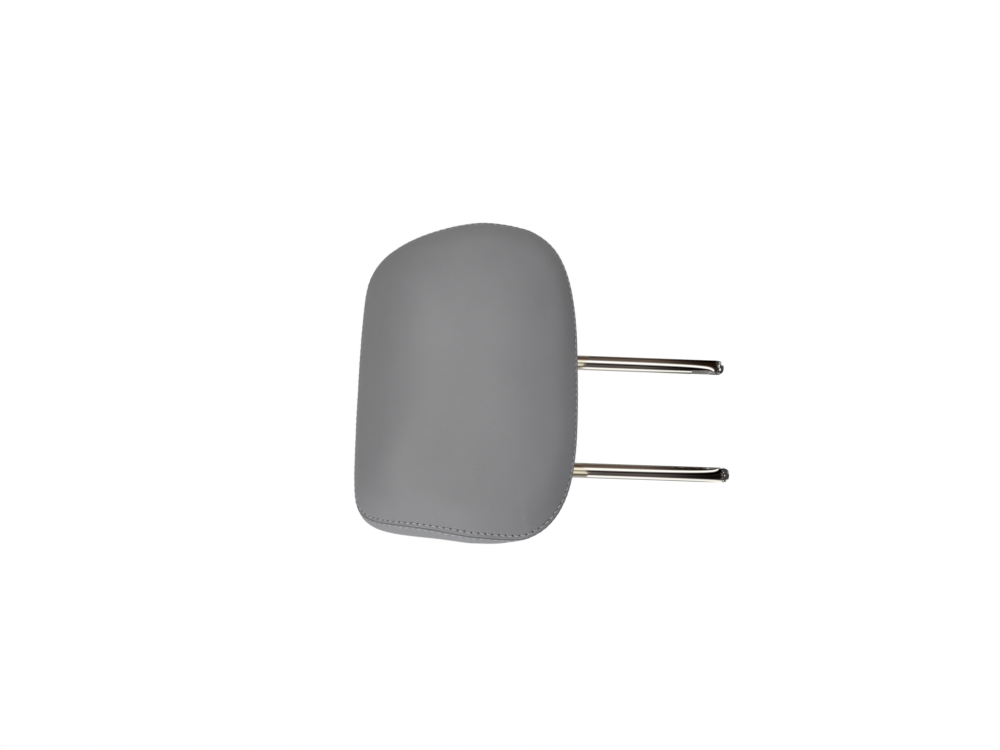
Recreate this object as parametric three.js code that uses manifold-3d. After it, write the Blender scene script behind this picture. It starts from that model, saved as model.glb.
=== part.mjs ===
// Car headrest: a foam pad in a sewn leather cover, carried on one bent chrome tube whose two
// straight ends are the posts. Millimetres. +Z up, the face that the head meets looks along -Y.
// The origin lies midway between the posts, about where they leave the pad's underside.

import * as THREE from 'three';
import { mergeVertices } from 'three/addons/utils/BufferGeometryUtils.js';
import Module from 'manifold-3d';

const wasm = await Module();
wasm.setup();

// Post tube
const postSpacing = 99;
const postDiameter = 12.7;
const tubeWall = 2;
const postReach = 142;
const noseLength = 6;
const noseFlatDiameter = 4.4;
const noseDimpleDiameter = 2.2;
const noseDimpleDepth = 1.2;
const solidEndLength = 10;
const notchLength = 16;
const notchDepth = 1.4;
const notchFromTip = 12;
const ventDiameter = 4;

// Bends of the tube inside the foam
const crankStart = 24;
const crankEnd = 82;
const crankForward = 36;
const crossbarHeight = 130;
const bendRadius = 26;

// Plate behind the upper legs
const plateHeight = 34;
const plateThickness = 1.5;
const plateOverlap = 5;
const plateHoleDiameter = 22;
const plateAboveBend = 2;

// Seam line that runs round the pad, seen from the front
const padHalfWidth = 136.5;
const padCentreHeight = 73;
const padTopHeight = 168.8;
const padBottomHeight = -4.6;
const topCrown = 2.9;
const bottomCrown = 2;
const topSquareness = 9;
const bottomSquareness = 3.4;
const topTaper = 0.163;
const taperPower = 1.35;

// Depth of the seam line, which swings back towards the top and a little towards the bottom
const seamSideDepth = -83.5;
const seamTopDepth = -32;
const seamBottomDepth = -74.5;
const topSwingPower = 2.5;
const bottomSwingPower = 2;

// Blunt point of the seam at either lower corner, which stands out and lies a little further back
const cornerAngle = THREE.MathUtils.degToRad(15.6);
const cornerPush = 1.5;
const cornerPushSpread = THREE.MathUtils.degToRad(32);
const cornerSwing = 4.8;
const cornerSwingSpread = THREE.MathUtils.degToRad(13.4);
const cornerFadePower = 4;

// Front and back faces of the pad
const frontFaceDepth = -115;
const backFaceDepth = 18;
const backCrown = 3;
const sideShape = { round: 2.9, rise: 1.11, inset: 0.29 };
const topShape = { round: 2.9, rise: 1.53, inset: 0.165 };
const bottomShape = { round: 2.4, rise: 1.04, inset: 0.26 };
const sideTuck = 0.75;
const topTuck = 1.6;
const bottomTuck = 0.55;
const backEdgeTuck = 1.1;
const edgeTuckPower = 6;
const tuckStartHeight = 120;
const tuckEndHeight = 37;

// Cover, clearances and closure
const coverThickness = 3;
const pieceGap = 0.3;
const closureDepth = -26;
const closureHalfLength = 80;
const slitWidth = 1.2;
const stripThickness = 1.2;
const stripHeight = 9;
const stripLap = 3.8;

// Collars where the posts leave the cover
const collarDiameter = 25;
const collarThickness = 2;
const barrelDiameter = 17;
const barrelLength = 9;

// Facets; the last step of the front panel to the seam is a wide one
const seamSteps = 60;
const frontSteps = 8;
const frontLastTurn = THREE.MathUtils.degToRad(70);
const backSteps = 8;
const capSteps = 3;
const tubeSides = 20;
const boreSides = 12;
const noseSteps = 5;
const bendSteps = 7;
const closureSteps = 16;
const seamSamples = 400;

const postRadius = postDiameter / 2;

// Depth of the seam line at a height
function seamDepth(z) {
  const highest = padTopHeight + topCrown - padCentreHeight;
  const lowest = padCentreHeight - padBottomHeight + bottomCrown;
  const above = THREE.MathUtils.clamp((z - padCentreHeight) / highest, 0, 1);
  const below = THREE.MathUtils.clamp((padCentreHeight - z) / lowest, 0, 1);
  return seamSideDepth
    + (seamTopDepth - seamSideDepth) * above ** topSwingPower
    + (seamBottomDepth - seamSideDepth) * below ** bottomSwingPower;
}

// How near an angle is to a lower corner of the seam: 1 at the corner, 0 beyond the spread
function cornerShare(angle, spread) {
  const below = Math.asin(-Math.sin(angle));
  return Math.max(0, 1 - Math.abs(below - cornerAngle) / spread);
}

// Point of the seam line at an angle about the pad's centre, 90 degrees being straight up
function seamPoint(angle) {
  const up = Math.sin(angle) > 0;
  const height = up ? padTopHeight - padCentreHeight : padCentreHeight - padBottomHeight;
  const power = up ? topSquareness : bottomSquareness;
  const across = Math.abs(Math.cos(angle) / padHalfWidth) ** power;
  const along = Math.abs(Math.sin(angle) / height) ** power;
  const push = cornerPush * cornerShare(angle, cornerPushSpread);
  const radius = (across + along) ** (-1 / power) + push;
  const share = Math.min(1, Math.abs(radius * Math.sin(angle)) / height);
  const taper = up ? topTaper * share ** taperPower : 0;
  const x = radius * Math.cos(angle) * (1 - taper);
  const crown = (up ? topCrown : -bottomCrown) * (1 - (x / padHalfWidth) ** 2) * share ** 2;
  const z = padCentreHeight + radius * Math.sin(angle) + crown;
  return new THREE.Vector3(x, seamDepth(z) + cornerSwing * cornerShare(angle, cornerSwingSpread), z);
}

// Shape of the panels at an angle, blended from the side, top and bottom shapes
function shapeAt(angle) {
  const up = Math.max(0, Math.sin(angle)) ** 2;
  const down = Math.max(0, -Math.sin(angle)) ** 2;
  const blend = {};
  for (const key of Object.keys(sideShape)) {
    blend[key] = sideShape[key] * (1 - up - down) + topShape[key] * up + bottomShape[key] * down;
  }
  return blend;
}

// How fast the back panel turns in from the seam, which grows as the seam goes down the side
function tuckAt(angle, height) {
  const up = Math.max(0, Math.sin(angle)) ** 2;
  const fallen = (tuckStartHeight - height) / (tuckStartHeight - tuckEndHeight);
  const low = Math.sqrt(THREE.MathUtils.clamp(fallen, 0, 1));
  return THREE.MathUtils.lerp(THREE.MathUtils.lerp(sideTuck, topTuck, up), bottomTuck, low);
}

// Point of the front panel: turn goes from 0 at the middle of the face to 90 degrees at the seam
function frontPoint(angle, turn) {
  const seam = seamPoint(angle);
  const { round, rise } = shapeAt(angle);
  const reach = Math.sin(turn) ** (2 / round);
  const lift = Math.max(0, Math.cos(turn)) ** (2 / rise);
  const z = padCentreHeight + (seam.z - padCentreHeight) * reach;
  const base = seamDepth(z) + (seam.y - seamDepth(seam.z)) * reach ** cornerFadePower;
  return new THREE.Vector3(seam.x * reach, base + (frontFaceDepth - base) * lift, z);
}

// Point of the back panel: turn goes from 0 at the seam to 90 degrees at the back face
function backPoint(angle, turn) {
  const seam = seamPoint(angle);
  const { inset } = shapeAt(angle);
  const atSeam = tuckAt(angle, seam.z);
  const atEdge = Math.max(atSeam, backEdgeTuck);
  const tuck = THREE.MathUtils.lerp(atSeam, atEdge, Math.sin(turn) ** edgeTuckPower);
  const reach = 1 - inset * (1 - Math.cos(turn)) ** tuck;
  return new THREE.Vector3(
    seam.x * reach,
    seam.y + (backFaceDepth - seam.y) * Math.sin(turn),
    padCentreHeight + (seam.z - padCentreHeight) * reach
  );
}

// Point of the back face, inside the edge that the back panel turns over
function capPoint(angle, share) {
  const edge = backPoint(angle, Math.PI / 2);
  return new THREE.Vector3(
    edge.x * share,
    backFaceDepth + backCrown * (1 - share ** 2),
    padCentreHeight + (edge.z - padCentreHeight) * share
  );
}

// Angles that divide the seam line into steps of like length, the same on both sides
function seamAngles() {
  const angles = [];
  const lengths = [0];
  for (let i = 0; i <= seamSamples; i++) {
    angles.push(-Math.PI / 2 + (Math.PI * i) / seamSamples);
    if (i > 0) {
      const step = seamPoint(angles[i]).distanceTo(seamPoint(angles[i - 1]));
      lengths.push(lengths[i - 1] + step);
    }
  }
  const half = [];
  let at = 0;
  for (let k = 0; k <= seamSteps / 2; k++) {
    const target = (lengths[seamSamples] * k) / (seamSteps / 2);
    while (at < seamSamples - 1 && lengths[at + 1] < target) {
      at++;
    }
    const share = (target - lengths[at]) / (lengths[at + 1] - lengths[at]);
    half.push(THREE.MathUtils.lerp(angles[at], angles[at + 1], Math.min(1, share)));
  }
  const mirrored = half.slice(1, -1).reverse().map((angle) => Math.PI - angle);
  return [...half, ...mirrored];
}

// The pad's outer skin as rings of points, from the middle of the face to the middle of the back
function padRings() {
  const angles = seamAngles();
  const rings = [];
  for (let i = 1; i <= frontSteps; i++) {
    const turn = i < frontSteps ? frontLastTurn * (i / (frontSteps - 1)) : Math.PI / 2;
    rings.push(angles.map((angle) => frontPoint(angle, turn)));
  }
  for (let i = 1; i <= backSteps; i++) {
    rings.push(angles.map((angle) => backPoint(angle, (Math.PI / 2) * (i / backSteps))));
  }
  for (let i = 1; i < capSteps; i++) {
    rings.push(angles.map((angle) => capPoint(angle, 1 - i / capSteps)));
  }
  return {
    front: new THREE.Vector3(0, frontFaceDepth, padCentreHeight),
    rings,
    back: new THREE.Vector3(0, backFaceDepth + backCrown, padCentreHeight),
  };
}

const pad = padRings();
const around = pad.rings[0].length;
const seamRing = frontSteps - 1;

// Triangles between two rings of the skin, given as the start of each ring in the point list.
// The diagonals of the left half mirror those of the right half.
function bridge(index, ring, ringBehind, outward) {
  for (let k = 0; k < around; k++) {
    const next = (k + 1) % around;
    const [a, b, c, d] = [ring + k, ring + next, ringBehind + next, ringBehind + k];
    const faces = k < around / 2 ? [[a, d, b], [d, c, b]] : [[a, d, c], [a, c, b]];
    for (const face of faces) {
      index.push(...(outward ? face : face.reverse()));
    }
  }
}

// Triangles between a ring and the point at its middle
function fan(index, point, ring, outward) {
  for (let k = 0; k < around; k++) {
    const next = (k + 1) % around;
    index.push(point, outward ? ring + k : ring + next, outward ? ring + next : ring + k);
  }
}

function meshFrom(points, index) {
  const geometry = new THREE.BufferGeometry();
  const positions = points.flatMap((point) => point.toArray());
  geometry.setAttribute('position', new THREE.Float32BufferAttribute(positions, 3));
  geometry.setIndex(index);
  return geometry;
}

// The whole skin, closed, with the outward normal of each of its points
function padSkin(points) {
  const index = [];
  fan(index, 0, 1, true);
  for (let i = 0; i < pad.rings.length - 1; i++) {
    bridge(index, 1 + i * around, 1 + (i + 1) * around, true);
  }
  fan(index, points.length - 1, 1 + (pad.rings.length - 1) * around, false);
  return meshFrom(points, index);
}

const skinPoints = [pad.front, ...pad.rings.flat(), pad.back];
const skin = padSkin(skinPoints);
skin.computeVertexNormals();

// Skin points moved inward along their normals
function insetPoints(depth) {
  const normal = new THREE.Vector3();
  return skinPoints.map((point, i) => {
    normal.fromBufferAttribute(skin.attributes.normal, i);
    return point.clone().addScaledVector(normal, -depth);
  });
}

// Seam ring moved a little into its own panel, square to the seam line, which leaves the seam's gap
function openSeam(ring, neighbour) {
  return ring.map((point, k) => {
    const along = ring[(k + 1) % around].clone().sub(ring[(k + around - 1) % around]).normalize();
    const inward = neighbour[k].clone().sub(point);
    inward.addScaledVector(along, -inward.dot(along)).normalize();
    return point.clone().addScaledVector(inward, pieceGap / 2);
  });
}

// Cover panel: its outer face, its inner face one thickness below, and the cut edge between them
function coverPanel(isFront) {
  const layers = [insetPoints(0), insetPoints(coverThickness)].map((points) => {
    const rings = pad.rings.map((ring, i) => points.slice(1 + i * around, 1 + (i + 1) * around));
    if (isFront) {
      const used = rings.slice(0, seamRing + 1);
      used[seamRing] = openSeam(used[seamRing], used[seamRing - 1]);
      return [points[0], ...used.flat()];
    }
    const used = rings.slice(seamRing);
    used[0] = openSeam(used[0], used[1]);
    return [points[points.length - 1], ...used.flat()];
  });
  const size = layers[0].length;
  const ringCount = (size - 1) / around;
  const lastRing = 1 + (ringCount - 1) * around;
  const [rim, middle] = isFront ? [lastRing, 1] : [1, lastRing];
  const index = [];
  fan(index, 0, middle, isFront);
  fan(index, size, size + middle, !isFront);
  for (let i = 0; i < ringCount - 1; i++) {
    const ring = 1 + i * around;
    bridge(index, ring, ring + around, true);
    bridge(index, size + ring, size + ring + around, false);
  }
  bridge(index, rim, size + rim, isFront);
  return meshFrom(layers.flat(), index);
}

// Joins and cuts
const weldDistance = 1e-4;

function toSolid(geometry) {
  const plain = geometry.clone();
  plain.deleteAttribute('normal');
  plain.deleteAttribute('uv');
  const merged = mergeVertices(plain, weldDistance);
  return new wasm.Manifold(new wasm.Mesh({
    numProp: 3,
    vertProperties: new Float32Array(merged.attributes.position.array),
    triVerts: new Uint32Array(merged.index.array),
  }));
}

function toGeometry(solid) {
  const mesh = solid.getMesh();
  const geometry = new THREE.BufferGeometry();
  geometry.setAttribute('position', new THREE.BufferAttribute(new Float32Array(mesh.vertProperties), 3));
  geometry.setIndex([...mesh.triVerts]);
  return geometry;
}

function cylinder(diameter, bottom, top, x, y, sides) {
  const geometry = new THREE.CylinderGeometry(diameter / 2, diameter / 2, top - bottom, sides);
  geometry.rotateX(Math.PI / 2);
  geometry.translate(x, y, (bottom + top) / 2);
  return toSolid(geometry);
}

function box(low, high) {
  const size = new THREE.Vector3().subVectors(high, low);
  const geometry = new THREE.BoxGeometry(size.x, size.y, size.z);
  const middle = new THREE.Vector3().addVectors(low, high).multiplyScalar(0.5);
  geometry.translate(middle.x, middle.y, middle.z);
  return toSolid(geometry);
}

// Centre line of the tube: straight runs and true arcs, with its stations close only in the bends
class BentLine extends THREE.Curve {
  constructor(corners, radius) {
    super();
    this.points = [corners[0].clone()];
    for (let i = 1; i < corners.length - 1; i++) {
      this.addBend(corners[i - 1], corners[i], corners[i + 1], radius);
    }
    this.points.push(corners[corners.length - 1].clone());
  }

  addBend(before, corner, after, radius) {
    const arriving = corner.clone().sub(before).normalize();
    const leaving = after.clone().sub(corner).normalize();
    const bend = arriving.angleTo(leaving);
    const start = corner.clone().addScaledVector(arriving, -radius * Math.tan(bend / 2));
    const inward = leaving.clone().addScaledVector(arriving, -leaving.dot(arriving)).normalize();
    for (let k = 0; k <= bendSteps; k++) {
      const turned = (bend * k) / bendSteps;
      this.points.push(start.clone()
        .addScaledVector(arriving, radius * Math.sin(turned))
        .addScaledVector(inward, radius * (1 - Math.cos(turned))));
    }
  }

  get steps() {
    return this.points.length - 1;
  }

  getPoint(share, target = new THREE.Vector3()) {
    const station = share * this.steps;
    const i = Math.min(this.steps - 1, Math.floor(station + 1e-9));
    return target.lerpVectors(this.points[i], this.points[i + 1], station - i);
  }

  getPointAt(share, target) {
    return this.getPoint(share, target);
  }

  getTangentAt(share, target = new THREE.Vector3()) {
    const i = Math.round(share * this.steps);
    const ahead = this.points[Math.min(this.steps, i + 1)].clone().sub(this.points[i]).normalize();
    const behind = this.points[i].clone().sub(this.points[Math.max(0, i - 1)]).normalize();
    return target.addVectors(ahead, behind).normalize();
  }
}

function tubeLine(bottom) {
  const half = postSpacing / 2;
  const side = [[0, bottom], [0, crankStart], [-crankForward, crankEnd], [-crankForward, crossbarHeight]];
  const right = side.map(([y, z]) => new THREE.Vector3(half, y, z));
  const left = side.map(([y, z]) => new THREE.Vector3(-half, y, z)).reverse();
  return new BentLine([...right, ...left], bendRadius);
}

// Solid bar of round section along the tube's line
function roundBar(radius, bottom, sides) {
  const section = new THREE.Shape();
  section.absarc(0, 0, radius, 0, Math.PI * 2);
  const path = tubeLine(bottom);
  const geometry = new THREE.ExtrudeGeometry(section, {
    steps: path.steps,
    curveSegments: sides / 2,
    extrudePath: path,
  });
  return toSolid(geometry);
}

// Rounded nose that closes a post, with a flat end and a small centre dimple
function nose(x) {
  const flat = noseFlatDiameter / 2;
  const dimple = noseDimpleDiameter / 2;
  const profile = [new THREE.Vector2(0, noseDimpleDepth), new THREE.Vector2(dimple, 0)];
  for (let k = 0; k <= noseSteps; k++) {
    const turned = (Math.PI / 2) * (k / noseSteps);
    profile.push(new THREE.Vector2(
      flat + (postRadius - flat) * Math.sin(turned),
      noseLength * (1 - Math.cos(turned))
    ));
  }
  profile.push(new THREE.Vector2(0, noseLength));
  const geometry = new THREE.LatheGeometry(profile, tubeSides);
  geometry.rotateX(Math.PI / 2);
  geometry.translate(x, 0, -postReach);
  return toSolid(geometry);
}

function buildPostFrame() {
  const half = postSpacing / 2;
  let frame = roundBar(postRadius, -postReach + noseLength, tubeSides);
  frame = frame.add(nose(half)).add(nose(-half));
  frame = frame.subtract(roundBar(postRadius - tubeWall, -postReach + solidEndLength, boreSides));
  // Vent for plating, in the underside of the crossbar
  const ventTop = crossbarHeight;
  const ventBottom = crossbarHeight - postDiameter;
  frame = frame.subtract(cylinder(ventDiameter, ventBottom, ventTop, 0, -crankForward, boreSides));
  // Latch notch in the right post, on the side that looks at the other post
  const notchFloor = half - postRadius + notchDepth;
  const notchBottom = -postReach + notchFromTip;
  frame = frame.subtract(box(
    new THREE.Vector3(notchFloor - postDiameter, -postDiameter, notchBottom),
    new THREE.Vector3(notchFloor, postDiameter, notchBottom + notchLength)
  ));
  return toGeometry(frame);
}

// Plate that lies on the backs of the tube's upper legs
function plateSolid(growth) {
  const width = postSpacing + 2 * plateOverlap + 2 * growth;
  const height = plateHeight + 2 * growth;
  const outline = new THREE.Shape();
  outline.moveTo(-width / 2, 0);
  outline.lineTo(width / 2, 0);
  outline.lineTo(width / 2, height);
  outline.lineTo(-width / 2, height);
  outline.closePath();
  const hole = new THREE.Path();
  hole.absarc(0, height / 2, plateHoleDiameter / 2 - growth, 0, Math.PI * 2, true);
  outline.holes.push(hole);
  const geometry = new THREE.ExtrudeGeometry(outline, {
    depth: plateThickness + 2 * growth,
    bevelEnabled: false,
    curveSegments: boreSides,
  });
  geometry.rotateX(Math.PI / 2);
  const back = -crankForward + postRadius + pieceGap + plateThickness;
  const lean = Math.atan2(crankForward, crankEnd - crankStart);
  const bottom = crankEnd + bendRadius * Math.tan(lean / 2) + plateAboveBend;
  geometry.translate(0, back + growth, bottom - growth);
  return toSolid(geometry);
}

// Place and slope of a skin's underside, measured straight up from below
const ray = new THREE.Raycaster();
const twoSided = new THREE.MeshBasicMaterial({ side: THREE.DoubleSide });

function undersideAt(points, x, y) {
  ray.set(new THREE.Vector3(x, y, -postReach), new THREE.Vector3(0, 0, 1));
  const hit = ray.intersectObject(new THREE.Mesh(padSkin(points), twoSided))[0];
  return { point: hit.point, normal: hit.face.normal };
}

// Barrel of a collar, or with growth the hole that it passes through
function collarBarrel(side, growth) {
  const seat = undersideAt(skinPoints, side * postSpacing / 2, 0).point;
  const top = seat.z + barrelLength + growth;
  return cylinder(barrelDiameter + 2 * growth, -postReach, top, seat.x, 0, tubeSides);
}

// Collar: a flange that lies along the cover, and a barrel through the cover round the post
function buildCollar(side) {
  const seat = undersideAt(skinPoints, side * postSpacing / 2, 0);
  const radius = collarDiameter / 2;
  const disc = new THREE.CylinderGeometry(radius, radius, collarDiameter, tubeSides);
  disc.translate(0, collarThickness + pieceGap - radius, 0);
  disc.applyQuaternion(new THREE.Quaternion().setFromUnitVectors(new THREE.Vector3(0, 1, 0), seat.normal));
  disc.translate(seat.point.x, seat.point.y, seat.point.z);
  const outside = toSolid(padSkin(insetPoints(-pieceGap)));
  const flange = toSolid(disc).subtract(outside);
  const barrel = toSolid(disc).intersect(collarBarrel(side, 0));
  const boreDiameter = postDiameter + 2 * pieceGap;
  const bore = cylinder(boreDiameter, -postReach, postReach, seat.point.x, 0, tubeSides);
  return toGeometry(flange.add(barrel).subtract(bore));
}

// Line that the closure strips follow, just inside the cover
function closureLine(halfLength) {
  const inner = insetPoints(coverThickness + pieceGap);
  const points = [];
  for (let i = 0; i <= closureSteps; i++) {
    const x = halfLength * (2 * i / closureSteps - 1);
    points.push(undersideAt(inner, x, closureDepth + stripLap + pieceGap).point.setY(closureDepth));
  }
  return new THREE.CatmullRomCurve3(points);
}

// Bar along the closure line; the section is given as depth to the back and height into the pad
function closureBar(section, halfLength) {
  const shape = new THREE.Shape(section.map(([depth, height]) => new THREE.Vector2(-depth, -height)));
  const extrudePath = closureLine(halfLength);
  return toSolid(new THREE.ExtrudeGeometry(shape, { steps: closureSteps, extrudePath }));
}

// Two hooked strips, each sewn to one lip of the slit, that catch in each other
function buildStrip(isFront) {
  const wall = stripThickness;
  const top = stripHeight;
  const slotWall = wall / 2 + pieceGap;
  const hookLow = stripHeight / 2 + pieceGap;
  const front = [
    [-2 * wall, 0], [-wall, 0], [-wall, top - wall], [slotWall - wall / 2, top - wall],
    [slotWall - wall / 2, hookLow + pieceGap], [slotWall + wall / 2, hookLow + pieceGap],
    [slotWall + wall / 2, top], [-2 * wall, top],
  ];
  const tipBack = slotWall - wall / 2 - pieceGap;
  const rear = [
    [stripLap - wall, 0], [stripLap, 0], [stripLap, hookLow], [tipBack, hookLow],
    [tipBack, top - wall - pieceGap], [pieceGap - wall, top - wall - pieceGap],
    [pieceGap - wall, hookLow - wall], [stripLap - wall, hookLow - wall],
  ];
  return toGeometry(closureBar(isFront ? front : rear, closureHalfLength));
}

function buildCoverBack() {
  let cover = toSolid(coverPanel(false));
  for (const side of [-1, 1]) {
    cover = cover.subtract(collarBarrel(side, pieceGap));
  }
  return toGeometry(cover.subtract(box(
    new THREE.Vector3(-closureHalfLength, closureDepth - slitWidth / 2, -postReach),
    new THREE.Vector3(closureHalfLength, closureDepth + slitWidth / 2, crankStart)
  )));
}

function buildFoamCore() {
  let foam = toSolid(padSkin(insetPoints(coverThickness + pieceGap)));
  foam = foam.subtract(roundBar(postRadius + pieceGap, -postReach, tubeSides));
  foam = foam.subtract(plateSolid(pieceGap));
  for (const side of [-1, 1]) {
    foam = foam.subtract(collarBarrel(side, pieceGap));
  }
  const low = -stripThickness * 2 - pieceGap;
  const high = stripLap + pieceGap;
  const top = stripHeight + pieceGap;
  const bottom = -coverThickness;
  const pocket = [[low, bottom], [high, bottom], [high, top], [low, top]];
  foam = foam.subtract(closureBar(pocket, closureHalfLength + pieceGap));
  return toGeometry(foam);
}

// Colours and finishes
const leather = { color: 0x8b8b8b, roughness: 0.55, metalness: 0 };
const chrome = { color: 0xd6d3cf, roughness: 0.08, metalness: 1 };
const steel = { color: 0x6f7174, roughness: 0.5, metalness: 1 };
const foamFinish = { color: 0xd9cfae, roughness: 0.95, metalness: 0 };
const blackPlastic = { color: 0x2a2a2b, roughness: 0.6, metalness: 0 };

const headrest = new THREE.Group();
headrest.name = 'car_headrest';

function addPiece(name, geometry, finish) {
  const mesh = new THREE.Mesh(geometry, new THREE.MeshStandardMaterial(finish));
  mesh.name = name;
  headrest.add(mesh);
}

addPiece('post_frame', buildPostFrame(), chrome);
addPiece('cross_plate', toGeometry(plateSolid(0)), steel);
addPiece('foam_core', buildFoamCore(), foamFinish);
addPiece('cover_front', coverPanel(true), leather);
addPiece('cover_back', buildCoverBack(), leather);
addPiece('closure_strip_front', buildStrip(true), blackPlastic);
addPiece('closure_strip_rear', buildStrip(false), blackPlastic);
addPiece('post_collar_left', buildCollar(-1), blackPlastic);
addPiece('post_collar_right', buildCollar(1), blackPlastic);

export default headrest;
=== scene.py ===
import math

import bpy
import numpy as np
from mathutils import Matrix, Vector
from mathutils.bvhtree import BVHTree


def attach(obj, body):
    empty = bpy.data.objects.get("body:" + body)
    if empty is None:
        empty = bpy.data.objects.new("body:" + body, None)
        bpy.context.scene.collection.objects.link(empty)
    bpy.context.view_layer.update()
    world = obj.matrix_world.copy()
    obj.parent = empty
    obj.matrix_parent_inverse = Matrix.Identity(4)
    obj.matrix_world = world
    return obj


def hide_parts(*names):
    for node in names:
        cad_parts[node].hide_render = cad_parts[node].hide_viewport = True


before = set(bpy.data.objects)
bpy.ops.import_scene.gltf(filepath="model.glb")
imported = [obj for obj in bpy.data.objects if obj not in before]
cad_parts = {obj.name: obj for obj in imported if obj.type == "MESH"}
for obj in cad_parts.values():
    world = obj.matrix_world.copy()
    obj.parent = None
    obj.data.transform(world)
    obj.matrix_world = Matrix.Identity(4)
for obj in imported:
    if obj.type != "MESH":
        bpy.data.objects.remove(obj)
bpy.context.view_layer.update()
mm = 0.001  # shapes are worked out in millimetres and built in metres


# Nodes and colours
def toLinear(hexColour):
    parts = [int(hexColour[i:i + 2], 16) / 255 for i in (1, 3, 5)]
    return [p / 12.92 if p <= 0.04045 else ((p + 0.055) / 1.055) ** 2.4 for p in parts] + [1.0]


def addNode(tree, kind, inputs=None, **settings):
    node = tree.nodes.new(kind)
    for name, value in settings.items():
        setattr(node, name, value)
    for key, value in (inputs or {}).items():
        if isinstance(value, bpy.types.NodeSocket):
            tree.links.new(value, node.inputs[key])
        else:
            node.inputs[key].default_value = value
    return node


def newMaterial(name):
    material = bpy.data.materials.new(name)
    material.use_nodes = True
    tree = material.node_tree
    tree.nodes.clear()
    return material, tree, addNode(tree, "ShaderNodeTexCoord").outputs["Object"]


def showSurface(tree, shader):
    addNode(tree, "ShaderNodeOutputMaterial", {"Surface": shader.outputs[0]})


leatherLook = {
    "light": "#8f8f91",
    "dark": "#878789",
    # painted shade with a little dirt, in the seam groove and on the inner face
    "creaseShadeAndDirt": "#5c5c5d",
    # painted shade in the needle holes
    "needleHoleShade": "#121213",
    "grainSize": 0.9,      # mm across one pebble
    "grainDepth": 0.07,    # mm
    "drift": (4, 0.8),     # mm, size and reach of the bends in the rows of pebbles
    "poreSize": 0.35,      # mm
    "mottleSize": 38,      # mm across a lighter or darker patch
    "roughness": (0.46, 0.6),   # on the crowns and in the valleys of the grain
}


def coatedLeather():
    # Cow hide, embossed and sprayed with a polyurethane coat: satin, with a fine pebble grain whose valleys
    # stay duller than its crowns, a little dirt with painted shade in the seam, and painted shade in the
    # needle holes
    look = leatherLook
    driftSize, driftReach = look["drift"]
    material, tree, place = newMaterial("coatedLeather")
    drift = addNode(tree, "ShaderNodeTexNoise", {
        "Vector": place, "Scale": 1 / (driftSize * mm), "Detail": 2.0})
    wander = addNode(tree, "ShaderNodeVectorMath", {
        0: drift.outputs["Color"], 1: (driftReach * mm,) * 3, 2: place}, operation="MULTIPLY_ADD")
    pebbles = addNode(tree, "ShaderNodeTexVoronoi", {
        "Vector": wander.outputs[0], "Scale": 1 / (look["grainSize"] * mm)}, feature="DISTANCE_TO_EDGE")
    crowns = addNode(tree, "ShaderNodeMapRange", {
        "Value": pebbles.outputs["Distance"], "From Max": 0.3}, interpolation_type="SMOOTHSTEP")
    pores = addNode(tree, "ShaderNodeTexNoise", {
        "Vector": place, "Scale": 1 / (look["poreSize"] * mm), "Detail": 3.0})
    height = addNode(tree, "ShaderNodeMath", {
        0: pores.outputs["Fac"], 1: 0.35, 2: crowns.outputs["Result"]}, operation="MULTIPLY_ADD")
    relief = addNode(tree, "ShaderNodeBump", {
        "Strength": 0.55, "Distance": look["grainDepth"] * mm, "Height": height.outputs[0]})
    mottle = addNode(tree, "ShaderNodeTexNoise", {
        "Vector": place, "Scale": 1 / (look["mottleSize"] * mm), "Detail": 3.0, "Roughness": 0.6})
    patches = addNode(tree, "ShaderNodeMix", {
        0: mottle.outputs["Fac"], 6: toLinear(look["dark"]), 7: toLinear(look["light"])}, data_type="RGBA")
    valleys = addNode(tree, "ShaderNodeMapRange", {
        "Value": crowns.outputs["Result"], "To Min": 0.93, "To Max": 1.01})
    toned = addNode(tree, "ShaderNodeVectorMath", {
        0: patches.outputs[2], "Scale": valleys.outputs["Result"]}, operation="SCALE")
    # Painted shade with a little dirt in the seam groove and on the inner face of the leather
    creaseShadeAndDirt = addNode(tree, "ShaderNodeAttribute", attribute_name="creaseShadeAndDirt")
    shadedAndDirtied = addNode(tree, "ShaderNodeMix", {
        0: creaseShadeAndDirt.outputs["Fac"], 6: toned.outputs[0], 7: toLinear(look["creaseShadeAndDirt"])}, data_type="RGBA")
    # Painted shade in the needle holes
    hole = addNode(tree, "ShaderNodeAttribute", attribute_name="hole")
    colour = addNode(tree, "ShaderNodeMix", {
        0: hole.outputs["Fac"], 6: shadedAndDirtied.outputs[2], 7: toLinear(look["needleHoleShade"])}, data_type="RGBA")
    satin = addNode(tree, "ShaderNodeMapRange", {
        "Value": crowns.outputs["Result"], "To Min": look["roughness"][1], "To Max": look["roughness"][0]})
    showSurface(tree, addNode(tree, "ShaderNodeBsdfPrincipled", {
        "Base Color": colour.outputs[2], "Roughness": satin.outputs["Result"], "IOR": 1.48,
        "Specular IOR Level": 0.4, "Coat Weight": 0.05, "Coat Roughness": 0.4,
        "Normal": relief.outputs["Normal"]}))
    return material


threadLook = {"light": "#d6d8db", "dark": "#a8aaad", "plyTwist": 1.1, "plyDepth": 0.06, "roughness": 0.5}


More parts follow.
